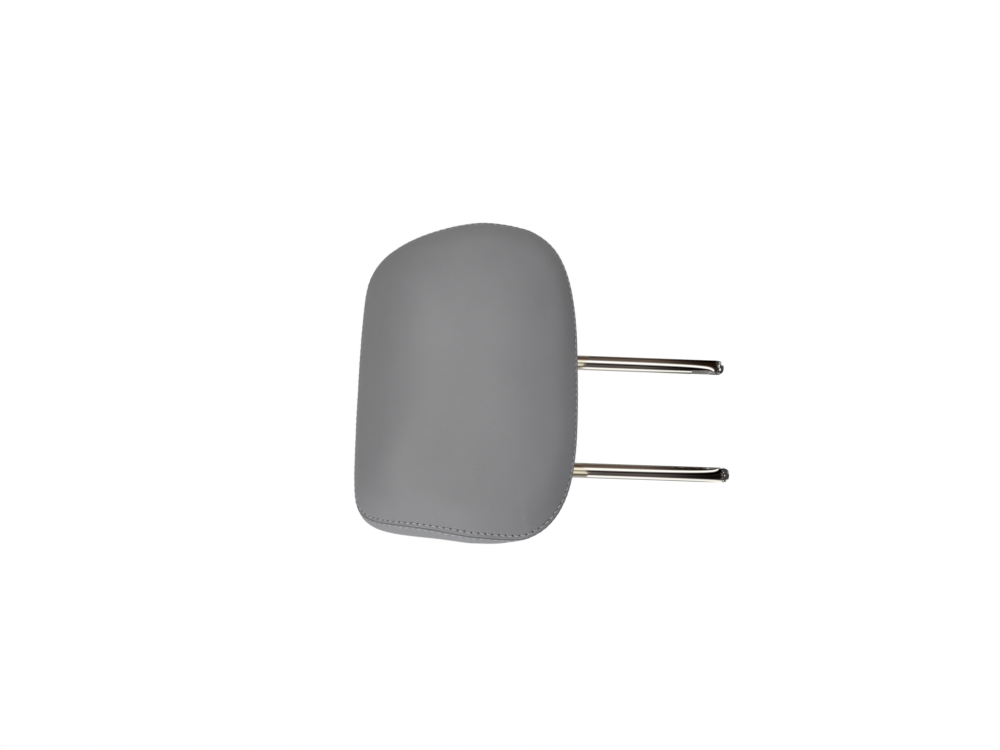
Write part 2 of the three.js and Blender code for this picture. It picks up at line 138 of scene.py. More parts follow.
def bondedPolyester():
    # Bonded polyester sewing thread: three plies twisted together, smooth and slightly waxy
    look = threadLook
    material, tree, _ = newMaterial("bondedPolyester")
    along = addNode(tree, "ShaderNodeAttribute", attribute_name="along")
    around = addNode(tree, "ShaderNodeAttribute", attribute_name="around")
    turns = addNode(tree, "ShaderNodeMath", {
        0: along.outputs["Fac"], 1: 1 / look["plyTwist"], 2: around.outputs["Fac"]},
        operation="MULTIPLY_ADD")
    phase = addNode(tree, "ShaderNodeMath", {0: turns.outputs[0], 1: 6 * math.pi}, operation="MULTIPLY")
    plies = addNode(tree, "ShaderNodeMath", {0: phase.outputs[0]}, operation="SINE")
    shade = addNode(tree, "ShaderNodeMapRange", {"Value": plies.outputs[0], "From Min": -1.0})
    relief = addNode(tree, "ShaderNodeBump", {
        "Strength": 0.6, "Distance": look["plyDepth"] * mm, "Height": shade.outputs["Result"]})
    colour = addNode(tree, "ShaderNodeMix", {
        0: shade.outputs["Result"], 6: toLinear(look["dark"]), 7: toLinear(look["light"])},
        data_type="RGBA")
    showSurface(tree, addNode(tree, "ShaderNodeBsdfPrincipled", {
        "Base Color": colour.outputs[2], "Roughness": look["roughness"], "IOR": 1.5,
        "Normal": relief.outputs["Normal"]}))
    return material


chromeLook = {
    "colour": "#e2dfda", "roughness": (0.02, 0.07), "scratchDepth": 0.01,
    "streakWidth": 0.5, "streakLength": 30, "cloudSize": 25,
}


def platedChrome():
    # Decorative chrome plate over nickel on drawn steel: a mirror with a slight warm tone, and fine
    # scratches along the posts from sliding in their guide sleeves
    look = chromeLook
    material, tree, place = newMaterial("platedChrome")
    fine, long = 1 / (look["streakWidth"] * mm), 1 / (look["streakLength"] * mm)
    stretched = addNode(tree, "ShaderNodeMapping", {"Vector": place, "Scale": (fine, fine, long)})
    streaks = addNode(tree, "ShaderNodeTexNoise", {
        "Vector": stretched.outputs[0], "Scale": 1.0, "Detail": 4.0})
    clouds = addNode(tree, "ShaderNodeTexNoise", {
        "Vector": place, "Scale": 1 / (look["cloudSize"] * mm), "Detail": 2.0})
    wear = addNode(tree, "ShaderNodeMath", {
        0: streaks.outputs["Fac"], 1: clouds.outputs["Fac"]}, operation="MULTIPLY")
    rough = addNode(tree, "ShaderNodeMapRange", {
        "Value": wear.outputs[0], "From Min": 0.15, "From Max": 0.45,
        "To Min": look["roughness"][0], "To Max": look["roughness"][1]})
    relief = addNode(tree, "ShaderNodeBump", {
        "Strength": 0.05, "Distance": look["scratchDepth"] * mm, "Height": streaks.outputs["Fac"]})
    showSurface(tree, addNode(tree, "ShaderNodeBsdfPrincipled", {
        "Base Color": toLinear(look["colour"]), "Metallic": 1.0, "Roughness": rough.outputs["Result"],
        "Normal": relief.outputs["Normal"]}))
    return material


def streakedMaterial(name, look, shader):
    # One stretched pattern that carries the colour, the gloss and the relief, along X where it is drawn
    material, tree, place = newMaterial(name)
    fine, long = 1 / (look["width"] * mm), 1 / (look["length"] * mm)
    drawn = addNode(tree, "ShaderNodeMapping", {"Vector": place, "Scale": (long, fine, fine)})
    lines = addNode(tree, "ShaderNodeTexNoise", {
        "Vector": drawn.outputs[0], "Scale": 1.0, "Detail": look["detail"]})
    colour = addNode(tree, "ShaderNodeMix", {
        0: lines.outputs["Fac"], 6: toLinear(look["dark"]), 7: toLinear(look["light"])}, data_type="RGBA")
    rough = addNode(tree, "ShaderNodeMapRange", {
        "Value": lines.outputs["Fac"], "To Min": look["roughness"][0], "To Max": look["roughness"][1]})
    relief = addNode(tree, "ShaderNodeBump", {
        "Strength": look["bump"], "Distance": look["depth"] * mm, "Height": lines.outputs["Fac"]})
    showSurface(tree, addNode(tree, "ShaderNodeBsdfPrincipled", {
        "Base Color": colour.outputs[2], "Roughness": rough.outputs["Result"],
        "Normal": relief.outputs["Normal"], **shader}))
    return material


steelLook = {
    "light": "#8b8d90", "dark": "#5f6266", "width": 0.8, "length": 40, "detail": 4.0,
    "roughness": (0.35, 0.55), "bump": 0.3, "depth": 0.02,
}


def pressedSteel():
    # Cold rolled sheet steel, blanked in a press: grey, with faint rolling lines and an oily bloom
    return streakedMaterial("pressedSteel", steelLook, {"Metallic": 1.0})


foamLook = {
    "light": "#e2d6b4", "dark": "#b9a87c", "cellSize": 0.8, "cellDepth": 0.3, "skinSize": 12,
    "roughness": 0.95,
}


def mouldedFoam():
    # Flexible polyurethane foam, moulded: cream, matt, open cells under a thin torn skin
    look = foamLook
    material, tree, place = newMaterial("mouldedFoam")
    cells = addNode(tree, "ShaderNodeTexVoronoi", {"Vector": place, "Scale": 1 / (look["cellSize"] * mm)})
    ageing = addNode(tree, "ShaderNodeTexNoise", {
        "Vector": place, "Scale": 1 / (look["skinSize"] * mm), "Detail": 4.0})
    depth = addNode(tree, "ShaderNodeMath", {
        0: cells.outputs["Distance"], 1: ageing.outputs["Fac"]}, operation="MULTIPLY")
    colour = addNode(tree, "ShaderNodeMix", {
        0: depth.outputs[0], 6: toLinear(look["light"]), 7: toLinear(look["dark"])}, data_type="RGBA")
    relief = addNode(tree, "ShaderNodeBump", {
        "Strength": 0.8, "Distance": look["cellDepth"] * mm, "Height": cells.outputs["Distance"]})
    showSurface(tree, addNode(tree, "ShaderNodeBsdfPrincipled", {
        "Base Color": colour.outputs[2], "Roughness": look["roughness"], "IOR": 1.4,
        "Normal": relief.outputs["Normal"]}))
    return material


plasticLook = {
    "light": "#333334", "dark": "#262627", "width": 0.45, "detail": 3.0,
    "roughness": (0.42, 0.6), "bump": 0.5, "depth": 0.04,
}


def blackPolypropylene(name, dragLength):
    # Black polypropylene. Moulded pieces copy the spark-eroded matt skin of the tool, and extruded
    # ones carry long drag lines instead
    return streakedMaterial(name, {**plasticLook, "length": dragLength}, {"IOR": 1.49})


leather = coatedLeather()
thread = bondedPolyester()
chrome = platedChrome()
print("materials ready")


# Meshes out of rings of points, each ring with as many points as its neighbour or half or twice as many
def bridgeRings(a, countA, b, countB):
    faces = []
    if countA == countB:
        for k in range(countA):
            n = (k + 1) % countA
            faces.append((a + k, b + k, b + n, a + n))
    elif countA == 2 * countB:
        for k in range(countB):
            mid, far, n = a + 2 * k + 1, a + (2 * k + 2) % countA, (k + 1) % countB
            faces += [(a + 2 * k, b + k, mid), (mid, b + k, b + n), (mid, b + n, far)]
    else:
        for k in range(countA):
            mid, far, n = b + 2 * k + 1, b + (2 * k + 2) % countB, (k + 1) % countA
            faces += [(a + k, b + 2 * k, mid), (a + k, mid, a + n), (a + n, mid, far)]
    return faces


def closedFaces(counts):
    faces = [(0, 1 + k, 1 + (k + 1) % counts[0]) for k in range(counts[0])]
    start = 1
    for countA, countB in zip(counts, counts[1:]):
        faces += bridgeRings(start, countA, start + countA, countB)
        start += countA
    pole = start + counts[-1]
    faces += [(start + k, pole, start + (k + 1) % counts[-1]) for k in range(counts[-1])]
    return faces


def newPiece(name, points, faces, material, values=None):
    mesh = bpy.data.meshes.new(name)
    mesh.from_pydata((np.asarray(points) * mm).tolist(), [], faces)
    for key, data in (values or {}).items():
        layer = mesh.attributes.new(key, "FLOAT", "POINT")
        layer.data.foreach_set("value", np.asarray(data, np.float32))
    mesh.shade_smooth()
    mesh.materials.append(material)
    piece = bpy.data.objects.new(name, mesh)
    bpy.context.scene.collection.objects.link(piece)
    return piece


def cutAway(piece, cutter, sharpAngle):
    cut = piece.modifiers.new("cut", "BOOLEAN")
    cut.operation = "DIFFERENCE"
    cut.solver = "MANIFOLD"
    cut.object = cutter
    graph = bpy.context.evaluated_depsgraph_get()
    result = bpy.data.meshes.new_from_object(piece.evaluated_get(graph))
    piece.modifiers.clear()
    old = piece.data
    piece.data = result
    result.name = old.name
    bpy.data.meshes.remove(old)
    bpy.data.objects.remove(cutter)
    result.shade_smooth()
    result.set_sharp_from_angle(angle=math.radians(sharpAngle))


def makeOutward(piece):
    # Turns a closed mesh so that its faces look outward
    if sum(face.center.dot(face.normal) * face.area for face in piece.data.polygons) < 0:
        piece.data.flip_normals()


def prism(name, corners, material):
    # corners: the outline at one end, then the same outline at the other end
    n = len(corners) // 2
    ends = [tuple(range(n)), tuple(reversed(range(n, 2 * n)))]
    piece = newPiece(name, corners, ends + bridgeRings(0, n, n, n), material)
    makeOutward(piece)
    return piece


def unit(vectors):
    return vectors / np.maximum(np.linalg.norm(vectors, axis=-1, keepdims=True), 1e-9)


def lengthAlong(points):
    steps = np.linalg.norm(np.diff(points, axis=0), axis=-1)
    return np.concatenate([np.zeros_like(steps[:1]), np.cumsum(steps, axis=0)])


# The pad's skin, from the same driving sizes as the CAD part
padShape = {
    "halfWidth": 136.5, "centre": 73, "top": 168.8, "bottom": -4.6,
    "topCrown": 2.9, "bottomCrown": 2, "topSquare": 9, "bottomSquare": 3.4,
    "taper": 0.163, "taperPower": 1.35,
    "seamSide": -83.5, "seamTop": -32, "seamBottom": -74.5, "topSwing": 2.5, "bottomSwing": 2,
    "front": -115, "back": 18, "backCrown": 3,
    "sideShape": (2.9, 1.11, 0.29),     # round and rise of the front panel, inset of the back panel
    "topShape": (2.9, 1.53, 0.165),
    "bottomShape": (2.4, 1.04, 0.26),
    "tuck": {"side": 0.75, "top": 1.6, "bottom": 0.55, "edge": 1.1, "edgePower": 6, "from": 120, "to": 37,
             "blend": 0.08},
    "corner": {"angle": 15.6, "push": 1.5, "pushSpread": 32, "swing": 4.8, "swingSpread": 13.4, "fade": 4,
               "blend": 0.06},
    "thickness": 3, "middle": -45,      # depth of a point well inside the pad
}
pathSteps = {"seam": 8001, "face": 260, "wall": 200, "cap": 60}   # points along the exact curves


def seamDepth(z):
    s = padShape
    above = np.clip((z - s["centre"]) / (s["top"] + s["topCrown"] - s["centre"]), 0, 1)
    below = np.clip((s["centre"] - z) / (s["centre"] - s["bottom"] + s["bottomCrown"]), 0, 1)
    return (s["seamSide"] + (s["seamTop"] - s["seamSide"]) * above ** s["topSwing"]
            + (s["seamBottom"] - s["seamSide"]) * below ** s["bottomSwing"])


def softRamp(share, blend):
    # From 0 to 1 along a straight line whose two ends are rounded off
    start = blend * np.logaddexp(0, share / blend)
    return 1 - blend * np.logaddexp(0, (1 - start) / blend)


def cornerShare(angle, spread):
    # How near an angle is to a lower corner of the seam, on either side of the pad
    below = np.degrees(np.arcsin(-np.sin(angle)))
    corner = padShape["corner"]
    return softRamp(1 - np.abs(below - corner["angle"]) / spread, corner["blend"])


def seamLine(angle):
    s, corner = padShape, padShape["corner"]
    up = np.sin(angle) > 0
    height = np.where(up, s["top"] - s["centre"], s["centre"] - s["bottom"])
    power = np.where(up, s["topSquare"], s["bottomSquare"])
    across = np.abs(np.cos(angle) / s["halfWidth"]) ** power
    along = np.abs(np.sin(angle) / height) ** power
    radius = (across + along) ** (-1 / power) + corner["push"] * cornerShare(angle, corner["pushSpread"])
    share = np.minimum(1, np.abs(radius * np.sin(angle)) / height)
    x = radius * np.cos(angle) * (1 - np.where(up, s["taper"] * share ** s["taperPower"], 0))
    crown = np.where(up, s["topCrown"], -s["bottomCrown"]) * (1 - (x / s["halfWidth"]) ** 2) * share ** 2
    z = s["centre"] + radius * np.sin(angle) + crown
    return np.stack([x, seamDepth(z) + corner["swing"] * cornerShare(angle, corner["swingSpread"]), z], -1)


def shapeAt(angle):
    up = np.maximum(0, np.sin(angle)) ** 2
    down = np.maximum(0, -np.sin(angle)) ** 2
    ends = zip(padShape["sideShape"], padShape["topShape"], padShape["bottomShape"])
    return [side * (1 - up - down) + top * up + bottom * down for side, top, bottom in ends]


def tuckAt(angle, height, turn):
    # How fast the back panel turns in from the seam: faster low down, and slower towards its back edge
    t = padShape["tuck"]
    up = np.maximum(0, np.sin(angle)) ** 2
    low = np.sqrt(softRamp((t["from"] - height) / (t["from"] - t["to"]), t["blend"]))
    atSeam = (t["side"] * (1 - up) + t["top"] * up) * (1 - low) + t["bottom"] * low
    return atSeam + (np.maximum(atSeam, t["edge"]) - atSeam) * np.sin(turn) ** t["edgePower"]


def frontPath(angle):
    # Points from the seam to the middle of the face, one column for each angle
    seam, (roundness, rise, _) = seamLine(angle), shapeAt(angle)
    turn = math.pi / 2 * (1 - np.linspace(0, 1, pathSteps["face"]) ** 1.6)[:, None]
    reach = np.sin(turn) ** (2 / roundness)
    lift = np.maximum(0, np.cos(turn)) ** (2 / rise)
    z = padShape["centre"] + (seam[:, 2] - padShape["centre"]) * reach
    base = seamDepth(z) + (seam[:, 1] - seamDepth(seam[:, 2])) * reach ** padShape["corner"]["fade"]
    return np.stack([seam[:, 0] * reach, base + (padShape["front"] - base) * lift, z], -1)


def backPath(angle):
    # Points from the seam round the back edge to the middle of the back face
    seam, (_, _, inset) = seamLine(angle), shapeAt(angle)
    turn = math.pi / 2 * np.linspace(0, 1, pathSteps["wall"])[:, None]
    reach = 1 - inset * (1 - np.cos(turn)) ** tuckAt(angle, seam[:, 2], turn)
    height = seam[:, 2] - padShape["centre"]
    wall = np.stack([seam[:, 0] * reach, seam[:, 1] + (padShape["back"] - seam[:, 1]) * np.sin(turn),
                     padShape["centre"] + height * reach], -1)
    share = np.linspace(1, 0, pathSteps["cap"])[1:, None]
    edge = 1 - inset
    cap = np.stack([seam[:, 0] * edge * share,
                    padShape["back"] + padShape["backCrown"] * (1 - share ** 2) + 0 * seam[:, 0],
                    padShape["centre"] + height * edge * share], -1)
    return np.concatenate([wall, cap])


def evenAngles(count):
    # Angles that divide the seam into steps of one length, from the bottom up the right side
    angles = np.linspace(-math.pi / 2, 3 * math.pi / 2, pathSteps["seam"])
    length = lengthAlong(seamLine(angles))
    return np.interp(np.arange(count) / count * length[-1], length, angles), length[-1]


def alongPath(path, near, farCount):
    # Rings at given distances from the seam, then evenly spaced ones up to the middle
    length = lengthAlong(path)
    far = np.arange(1, farCount + 1) / (farCount + 1)
    rings = np.empty((len(near) + farCount, path.shape[1], 3))
    distance = np.empty(rings.shape[:2])
    for k in range(path.shape[1]):
        total = length[-1, k]
        distance[:, k] = np.concatenate([near, near[-1] + (total - near[-1]) * far])
        for axis in range(3):
            rings[:, k, axis] = np.interp(distance[:, k], length[:, k], path[:, k, axis])
    return rings, distance, length[-1]


def outwardNormals(rings):
    around = np.roll(rings, -1, 1) - np.roll(rings, 1, 1)
    normal = unit(np.cross(around, np.gradient(rings, axis=0)))
    middle = np.array([0, padShape["middle"], padShape["centre"]])
    return normal * np.sign(np.sum(normal * (rings - middle)))


# Cloth simulation of the whole cover, held along its seam, which gives the leather its slight swell
inflation = {
    "columns": 144, "frontRings": 22, "backRings": 28, "startInset": 1.5,
    "pressure": 4.0, "frames": 20,
    "share": 0.2, "cap": 0.8,      # how much of the movement is kept, and its limit in mm
    "from": 3, "fadeIn": 12,       # distance from the seam at which it starts, and its ramp
}


def coverSwell():
    s = inflation
    angles = evenAngles(s["columns"])[0]
    front = alongPath(frontPath(angles), [0.0], s["frontRings"])[0]
    back = alongPath(backPath(angles), [0.0], s["backRings"])[0]
    skin = np.concatenate([front[::-1], back[1:]])
    normal = np.concatenate([outwardNormals(front)[::-1], outwardNormals(back)[1:]])
    start = skin - normal * s["startInset"]
    poles = [[0, padShape["front"] + s["startInset"], padShape["centre"]],
             [0, padShape["back"] + padShape["backCrown"] - s["startInset"], padShape["centre"]]]
    points = np.concatenate([poles[:1], start.reshape(-1, 3), poles[1:]])
    bag = newPiece("inflated_bag", points, closedFaces([s["columns"]] * len(skin)), leather)
    held = bag.vertex_groups.new(name="held")
    seamStart = 1 + s["frontRings"] * s["columns"]
    held.add(list(range(seamStart, seamStart + s["columns"])), 1.0, "REPLACE")
    cloth = bag.modifiers.new("inflate", "CLOTH")
    leatherBehaviour = {
        "quality": 6, "mass": 0.3, "tension_stiffness": 30, "compression_stiffness": 30,
        "shear_stiffness": 10, "bending_stiffness": 8, "use_pressure": True,
        "uniform_pressure_force": s["pressure"], "vertex_group_mass": "held",
    }
    for key, value in leatherBehaviour.items():
        setattr(cloth.settings, key, value)
    cloth.settings.effector_weights.gravity = 0
    cloth.collision_settings.use_collision = False
    for step in range(1, s["frames"] + 1):
        bpy.context.scene.frame_set(step)
    graph = bpy.context.evaluated_depsgraph_get()
    shaped = bag.evaluated_get(graph).data
    moved = np.empty(len(shaped.vertices) * 3, np.float32)
    shaped.vertices.foreach_get("co", moved)
    bpy.context.scene.frame_set(1)
    mesh = bag.data
    bpy.data.objects.remove(bag)
    bpy.data.meshes.remove(mesh)
    swollen = moved.reshape(-1, 3)[1:-1].reshape(skin.shape) / mm
    swell = np.sum((swollen - skin) * normal, axis=2)
    print("cloth moved the skin by", swell.min().round(2), "to", swell.max().round(2), "mm")
    swell = s["cap"] * np.tanh(s["share"] * (swell - np.median(swell)) / s["cap"])
    swell[s["frontRings"]] = 0
    middle = s["frontRings"]
    return swell[middle::-1], swell[middle:]


def spreadSwell(swell, columns, share):
    # The coarse swell at every fine column and at a share of the way from the seam to the middle
    coarse = np.fft.rfft(swell, axis=1)
    fine = np.fft.irfft(coarse, columns, axis=1) * columns / swell.shape[1]
    station = np.clip(share * len(swell), 0, len(swell) - 1.001)
    low = station.astype(int)
    blend = station - low
    blend = blend * blend * (3 - 2 * blend)
    column = np.arange(columns)[None, :].repeat(len(share), 0)
    return fine[low, column] * (1 - blend) + fine[low + 1, column] * blend


seamSewing = {
    "pitch": 5.5, "perStitch": 8, "rowDistance": 4.0,
    "profile": [  # height, distance from the seam and half width of each rise of the leather, in mm
        (-1.6, 0, 0.5), (0.24, 2.0, 1.0), (-0.26, 4.0, 0.8), (0.14, 7.5, 3.0)],
    "puckers": [(0.09, 2.6, 1.6), (-0.07, 6.0, 2.0)],   # the same, for what comes and goes with each stitch
    "waves": [(7, 0.1, 0.4), (13, 0.09, 2.1), (22, 0.06, 4.0), (41, 0.04, 1.2)],   # count, height, phase
    "edgeBlend": 3, "fullFrom": 6, "waveReach": 26,
    "needleDepth": 1.15, "needleWidth": 0.74, "needleSpan": 0.55, "needleShift": 0.1,
    "shoulder": (1.8, 25, 16),   # fullness of the foam inside the edge of the face, as in the profile
    # painted shade with a little dirt: its strength and width in the seam groove, and on the inner face
    "grooveShadeAndDirt": 0.75, "grooveShadeAndDirtWidth": 0.7, "edgeShadeAndDirt": 0.6, "holeShade": (1.9, 0.2),
}
stitchShape = {
    "radius": 0.36, "lift": 0.4, "slant": 0.7, "start": 0.1, "length": 0.66, "dip": 0.75, "shift": 0.15,
    "sides": 10, "stations": 9, "seed": 11,
}
stitchCount = 2 * round(evenAngles(8)[1] / seamSewing["pitch"] / 2)
columns = stitchCount * seamSewing["perStitch"]
seamAngles, seamLength = evenAngles(columns)
columnWidth = seamLength / columns

foldRounding, foldOnBack = 2.5, 0.3   # mm, how blunt a fold is, and its share on the back panel
cornerFolds = [  # where along the seam, height, half width and length of the soft fold in mm, and its lean
    {"angle": 195.6, "height": 1.8, "width": 8, "reach": 27, "lean": -0.22},
    {"angle": -15.6, "height": 1.8, "width": 8, "reach": 27, "lean": 0.22},
    {"angle": 141.5, "height": 0.5, "width": 8, "reach": 20, "lean": 0.0},
    {"angle": 38.5, "height": 0.5, "width": 8, "reach": 20, "lean": 0.0},
]


def ridge(distance, height, start, width):
    return height * np.exp(-((distance - start) / width) ** 2)


def seamRelief(distance, column):
    s = seamSewing
    relief = sum(ridge(distance, *row) for row in s["profile"])
    beat = np.cos(2 * math.pi * column / s["perStitch"])
    relief += beat * sum(ridge(distance, *row) for row in s["puckers"])
    waves = sum(height * np.sin(2 * math.pi * count * column / columns + phase)
                for count, height, phase in s["waves"])
    return relief + waves * np.clip(distance / s["fullFrom"], 0, 1) * np.exp(-distance / s["waveReach"])


def needlePits(distance, column):
    s = seamSewing
    offset = ((column + s["perStitch"] / 2) % s["perStitch"] - s["perStitch"] / 2) * columnWidth
    across = (distance - s["rowDistance"] - s["needleShift"]) / s["needleSpan"]
    return np.exp(-across ** 2 - (offset / s["needleWidth"]) ** 2)


def cornerRelief(distance, column, isFront):
    relief = np.zeros_like(distance)
    for fold in cornerFolds:
        at = np.interp(math.radians(fold["angle"]), seamAngles, np.arange(columns))
        aside = (column - at) * columnWidth + fold["lean"] * distance
        aside = (aside + seamLength / 2) % seamLength - seamLength / 2
        crest = np.exp(-np.sqrt(aside ** 2 + foldRounding ** 2) / fold["width"])
        fade = np.clip(distance / seamSewing["edgeBlend"], 0, 1) * np.exp(-(distance / fold["reach"]) ** 2)
        relief += fold["height"] * crest * fade * (1 if isFront else foldOnBack)
    return relief


nearRings = np.array([0, 0.22, 0.45, 0.7, 1.0, 1.35, 1.75, 2.15, 2.55, 2.95, 3.25, 3.5, 3.7, 3.9, 4.1, 4.3,
                      4.5, 4.75, 5.05, 5.4, 5.9, 6.5, 7.2, 8.1, 9.2, 10.5, 12.2, 14.2])
innerNear, farCounts = np.array([0, 4.0, 12.0]), {"front": 30, "back": 44, "inner": 12}
halvings = (0.14, 0.34, 0.62, 0.86)   # shares of the way to the middle at which the columns are halved


def thinnedRings(rings, share, extra):
    # Fewer columns towards the middle, halved where the ring is small enough
    kept, counts, values = [], [], []
    for ring, s, value in zip(rings, share, extra):
        level = sum(s > limit for limit in halvings)
        step = min(2 ** level, 2 * (columns // counts[-1]) if counts else 1)
        kept.append(ring[::step])
        values.append(value[::step])
        counts.append(len(ring[::step]))
    return kept, counts, values


def sewnPanel(name, isFront, swell, otherNormal):
    path = frontPath(seamAngles) if isFront else backPath(seamAngles)
    rings, distance, total = alongPath(path, nearRings, farCounts["front" if isFront else "back"])
    normal = outwardNormals(rings)
    blend = np.clip(distance[:, :, None] / seamSewing["edgeBlend"], 0, 1)
    normal = unit(normal * blend + otherNormal * (1 - blend))
    column = np.arange(columns)[None, :].repeat(len(rings), 0)
    share = distance / total
    rise = seamRelief(distance, column) + cornerRelief(distance, column, isFront)
    if swell is not None:
        ramp = np.clip((distance - inflation["from"]) / inflation["fadeIn"], 0, 1)
        rise += spreadSwell(swell, columns, share) * ramp
    if isFront:
        rise += ridge(distance, *seamSewing["shoulder"]) * np.clip(distance / seamSewing["fullFrom"], 0, 1)
    pits = needlePits(distance, column)
    smoothSkin = rings + normal * rise[:, :, None]
    outer = smoothSkin - normal * (pits * seamSewing["needleDepth"])[:, :, None]
    # Painted shade with a little dirt in the seam groove
    creaseShadeAndDirt = ridge(distance, seamSewing["grooveShadeAndDirt"], 0, seamSewing["grooveShadeAndDirtWidth"])
    # Painted shade in the needle holes
    gain, start = seamSewing["holeShade"]
    hole = np.clip(gain * pits - start, 0, 1)
    depth = padShape["front"] if isFront else padShape["back"] + padShape["backCrown"]
    middle = np.array([0, depth, padShape["centre"]])
    outside = (*thinnedRings(outer, share.mean(1), np.stack([creaseShadeAndDirt, hole], -1)), middle)

    # Cut edge down to the inner face, then the inner face itself
    innerRings, innerDistance, _ = alongPath(path, innerNear, farCounts["inner"])
    innerNormal = outwardNormals(innerRings)
    innerNormal[0] = otherNormal
    inner = innerRings - innerNormal * padShape["thickness"]
    # Painted shade with a little dirt on the inner face, seen through the seam
    grooveShadeAndDirt = np.tile([seamSewing["edgeShadeAndDirt"], 0.0], inner.shape[:2] + (1,))
    innerMiddle = middle + np.array([0, padShape["thickness"] * (1 if isFront else -1), 0])
    inside = (*thinnedRings(inner, (innerDistance / total).mean(1), grooveShadeAndDirt), innerMiddle)

    first, last = (outside, inside) if isFront else (inside, outside)
    points = np.concatenate([[first[3]], *first[0][::-1], *last[0], [last[3]]])
    faces = closedFaces(first[1][::-1] + last[1])
    marks = np.concatenate([[[0, 0]], *first[2][::-1], *last[2], [[0, 0]]])
    marks = {"creaseShadeAndDirt": marks[:, 0], "hole": marks[:, 1]}
    return newPiece(name, points, faces, leather, marks), (smoothSkin, normal, distance)


swells = coverSwell()
seamNormal = unit(sum(outwardNormals(alongPath(path(seamAngles), nearRings, 4)[0])[1]
                      for path in (frontPath, backPath)))
coverFront, frontRow = sewnPanel("leather_front_panel", True, swells[0], seamNormal)
coverBack, backRow = sewnPanel("leather_back_panel", False, swells[1], seamNormal)
print("leather panels", len(coverFront.data.polygons), len(coverBack.data.polygons), "faces")


# Stitches: each one a short twisted thread that dips into a needle hole at either end
def threadRow(name, line, normal, side):
    # line: points on the leather, perStitch of them for each stitch; side: across the row, off the seam
    s = stitchShape
    sides, stations, perStitch = s["sides"], s["stations"], seamSewing["perStitch"]
    chance = np.random.default_rng(s["seed"])
    points, faces, along, around = [], [], [], []
    where = np.arange(len(line))
    share = np.linspace(0, 1, stations)
    for i in range((len(line) - 1) // perStitch):
        lean = s["slant"] + chance.normal(0, 0.05)
        lift = s["lift"] + chance.normal(0, 0.03)
        station = (i + s["start"] + s["length"] * share) * perStitch
        base, up, across = [np.stack([np.interp(station, where, v[:, a]) for a in range(3)], -1)
                            for v in (line, normal, side)]
        arch = lift * np.sin(math.pi * share) ** 0.5 - s["dip"] * np.abs(2 * share - 1) ** 6
        centre = base + up * arch[:, None] + across * (s["shift"] - lean * share)[:, None]
        tangent = unit(np.gradient(centre, axis=0))
        out = unit(np.cross(tangent, up))
        top = np.cross(out, tangent)
        thin = s["radius"] * (1 - 0.25 * np.abs(2 * share - 1) ** 4)
        turn = np.arange(sides) / sides * 2 * math.pi
        ring = (centre[:, None] + out[:, None] * (np.cos(turn)[None, :, None] * thin[:, None, None])
                + top[:, None] * (np.sin(turn)[None, :, None] * thin[:, None, None] * 0.85))
        first = len(points)
        points += [centre[0]] + list(ring.reshape(-1, 3)) + [centre[-1]]
        travelled = lengthAlong(centre)
        along += [travelled[0]] + list(travelled.repeat(sides)) + [travelled[-1]]
        around += [0.0] + list(np.tile(np.abs(turn / math.pi - 1), stations)) + [0.0]
        faces += [tuple(first + v for v in face) for face in closedFaces([sides] * stations)]
    return newPiece(name, np.array(points), faces, thread, {"along": along, "around": around})


def seamRow(name, row):
    skin, normal, distance = row
    at = seamSewing["rowDistance"]
    line, up, across = [
        np.array([[np.interp(far, distance[:, k], rings[:, k, axis]) for axis in range(3)]
                  for k in range(columns)])
        for far, rings in ((at, skin), (at, normal), (at + 1, skin))]
    across -= line
    line, up, across = [np.concatenate([v, v[:1]]) for v in (line, up, across)]
    return threadRow(name, line, up, across)


threadFront = seamRow("topstitch_front", frontRow)
threadBack = seamRow("topstitch_back", backRow)
print("stitches", stitchCount, "in each row")


# Chrome tube: two posts, the crank forward inside the foam, and the crossbar
postTube = {
    "spacing": 99, "diameter": 12.7, "reach": 142, "noseLength": 6, "noseFlat": 4.4,
    "dimple": 2.2, "dimpleDepth": 1.2,
    "crankStart": 24, "crankEnd": 82, "forward": 36, "crossbar": 130, "bendRadius": 26,
    "notchLength": 16, "notchDepth": 1.4, "notchFromTip": 12, "notchRamp": 2.2,
    "sides": 72,
}


def tubeStations():
    p = postTube
    half = p["spacing"] / 2
    side = [(0, -p["reach"] + p["noseLength"]), (0, p["crankStart"]), (-p["forward"], p["crankEnd"]),
            (-p["forward"], p["crossbar"])]
    corners = [Vector((half, y, z)) for y, z in side] + [Vector((-half, y, z)) for y, z in reversed(side)]
    straight = np.linspace(0, 0.8, 17)
    stations = [corners[0].lerp(corners[1], share) for share in straight]
    for before, corner, after in zip(corners, corners[1:], corners[2:]):
        arriving, leaving = (corner - before).normalized(), (after - corner).normalized()
        bend = arriving.angle(leaving)
        start = corner - arriving * p["bendRadius"] * math.tan(bend / 2)
        inward = (leaving - arriving * leaving.dot(arriving)).normalized()
        steps = max(8, round(math.degrees(bend) / 4))
        for k in range(steps + 1):
            turned = bend * k / steps
            stations.append(start + arriving * p["bendRadius"] * math.sin(turned)
                            + inward * p["bendRadius"] * (1 - math.cos(turned)))
    return stations + [corners[-1].lerp(corners[-2], share) for share in straight[::-1]]


def noseProfile():
    p = postTube
    flat, dimple, radius = p["noseFlat"] / 2, p["dimple"] / 2, p["diameter"] / 2
    profile = [(dimple * share, p["dimpleDepth"] * (1 - share ** 2)) for share in (0.3, 0.6, 0.85)]
    profile += [(dimple + 0.15, 0.0), (flat - 0.4, 0.0)]
    for k in range(12):
        turned = math.pi / 2 * k / 12
        profile.append((flat + (radius - flat) * math.sin(turned),
                        p["noseLength"] * (1 - math.cos(turned))))
    return profile


